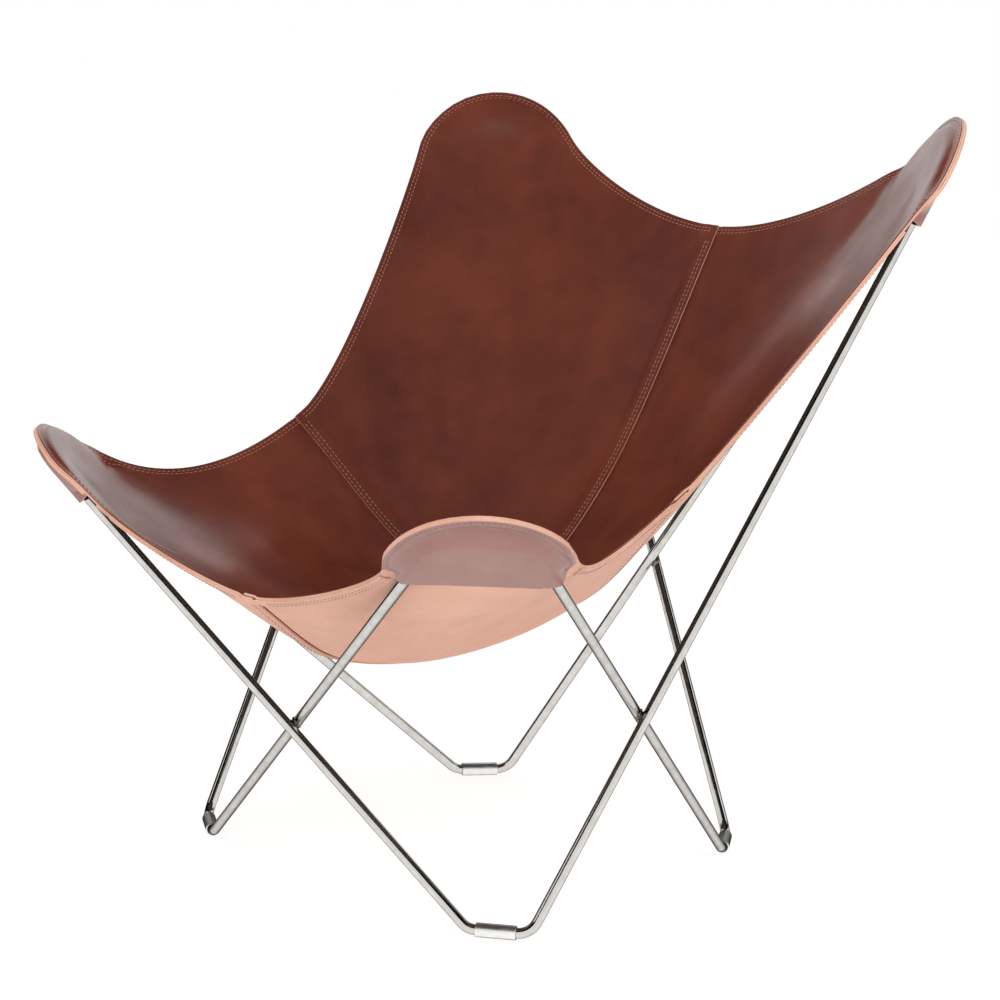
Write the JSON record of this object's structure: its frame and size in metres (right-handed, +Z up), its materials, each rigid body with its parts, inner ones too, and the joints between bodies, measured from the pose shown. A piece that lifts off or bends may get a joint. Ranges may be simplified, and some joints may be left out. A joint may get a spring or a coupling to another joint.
{
  "type": "butterfly sling chair",
  "caption": "Lounge chair of crossed loops of bent polished steel rod, with a brown leather sling whose half-round corner pockets hang on the rod's raised ears.",
  "frame": {"origin": "on the floor under the middle of the chair's outline", "axes": "+Z up, the chair faces -Y, +X to the sitter's left"},
  "size_m": [0.8416, 0.854, 0.909],
  "materials": {
    "rod_steel": "polished",
    "sleeve_steel": "matt",
    "panel_leather": "glossy grain side, bare suede underside",
    "pocket_leather": "satin grain side out",
    "edge_leather": "bare suede"
  },
  "bodies": {
    "chair": {"rear_left_hoop": "rod_steel", "rear_right_hoop": "rod_steel", "front_left_hoop": "rod_steel", "front_right_hoop": "rod_steel", "front_crossing_weld": "rod_steel", "left_crossing_weld": "rod_steel", "right_crossing_weld": "rod_steel", "rear_crossing_weld": "rod_steel", "rear_left_panel": "panel_leather", "rear_right_panel": "panel_leather", "front_left_panel": "panel_leather", "front_right_panel": "panel_leather", "rear_left_pocket": "pocket_leather", "rear_right_pocket": "pocket_leather", "front_left_pocket": "pocket_leather", "front_right_pocket": "pocket_leather", "left_edge_band": "edge_leather", "right_edge_band": "edge_leather", "front_edge_band": "edge_leather", "back_edge_band": "edge_leather"},
    "front_left_sleeve": {"front_left_foot_sleeve": "sleeve_steel"},
    "front_right_sleeve": {"front_right_foot_sleeve": "sleeve_steel"},
    "rear_left_sleeve": {"rear_left_foot_sleeve": "sleeve_steel"},
    "rear_right_sleeve": {"rear_right_foot_sleeve": "sleeve_steel"}
  },
  "joints": [
    {"name": "front_left_sleeve_turn", "type": "hinge", "parent": "chair", "child": "front_left_sleeve", "pos_m": [0.24373, -0.21927, 0.0082], "axis": [-0.8203, -0.5719, 0], "continuous": true},
    {"name": "front_right_sleeve_turn", "type": "hinge", "parent": "chair", "child": "front_right_sleeve", "pos_m": [-0.25622, -0.20651, 0.0082], "axis": [0.8179, -0.5753, 0], "continuous": true},
    {"name": "rear_left_sleeve_turn", "type": "hinge", "parent": "chair", "child": "rear_left_sleeve", "pos_m": [0.19714, 0.23052, 0.0082], "axis": [0.5826, -0.8128, 0], "continuous": true},
    {"name": "rear_right_sleeve_turn", "type": "hinge", "parent": "chair", "child": "rear_right_sleeve", "pos_m": [-0.21106, 0.21817, 0.0082], "axis": [-0.5973, -0.802, 0], "continuous": true}
  ]
}
